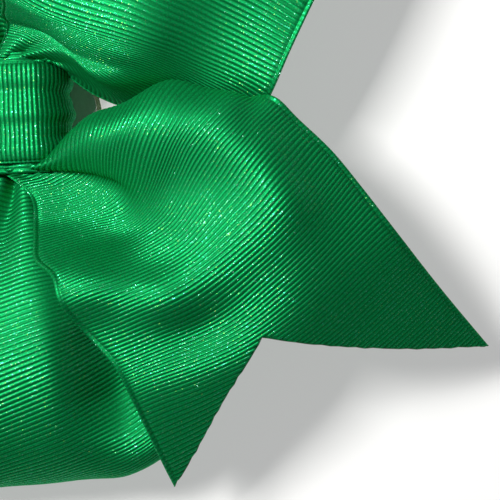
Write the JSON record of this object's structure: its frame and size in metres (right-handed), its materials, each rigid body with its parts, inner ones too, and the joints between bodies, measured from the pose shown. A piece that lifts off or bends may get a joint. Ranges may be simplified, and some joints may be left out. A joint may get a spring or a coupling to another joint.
{
  "type": "pre-made gift bow",
  "caption": "Ribbon gift bow with open side loops, swallowtail-cut tails spread to one side, a knot band and a self-adhesive card back.",
  "frame": {"origin": "centre of the back of the bow, on the surface that it lies on", "axes": "+Z out of the face of the bow, X from loop to loop, tails spread towards -Y"},
  "size_m": [0.1786, 0.1429, 0.0414],
  "materials": {
    "ribbon": "glitter",
    "wire": "satin",
    "glue": "satin",
    "card": "matte",
    "foam": "matte",
    "liner": "satin"
  },
  "bodies": {
    "bow": {"loop_left": "ribbon", "loop_right": "ribbon", "gathered_centre": "ribbon", "knot_band": "ribbon", "gather_wire": "wire", "glue_beads": "glue", "backing_card": "card", "adhesive_pad": "foam"},
    "left_tail": {"tail_left": "ribbon"},
    "right_tail": {"tail_right": "ribbon"},
    "liner": {"release_liner": "liner"}
  },
  "joints": [
    {"name": "tail_left_lift", "type": "hinge", "parent": "bow", "child": "left_tail", "pos_m": [0, 0.006, 0.014], "axis": [-0.8944, 0, -0.4472], "range_deg": [0, 35], "stiffness_Nm_per_rad": 0.02},
    {"name": "tail_right_lift", "type": "hinge", "parent": "bow", "child": "right_tail", "pos_m": [0, 0.006, 0.014], "axis": [-0.8944, 0, 0.4472], "range_deg": [0, 35], "stiffness_Nm_per_rad": 0.02},
    {"name": "liner_peel", "type": "slide", "parent": "bow", "child": "liner", "axis": [0, 1, 0], "range_m": [0, 0.045]}
  ]
}
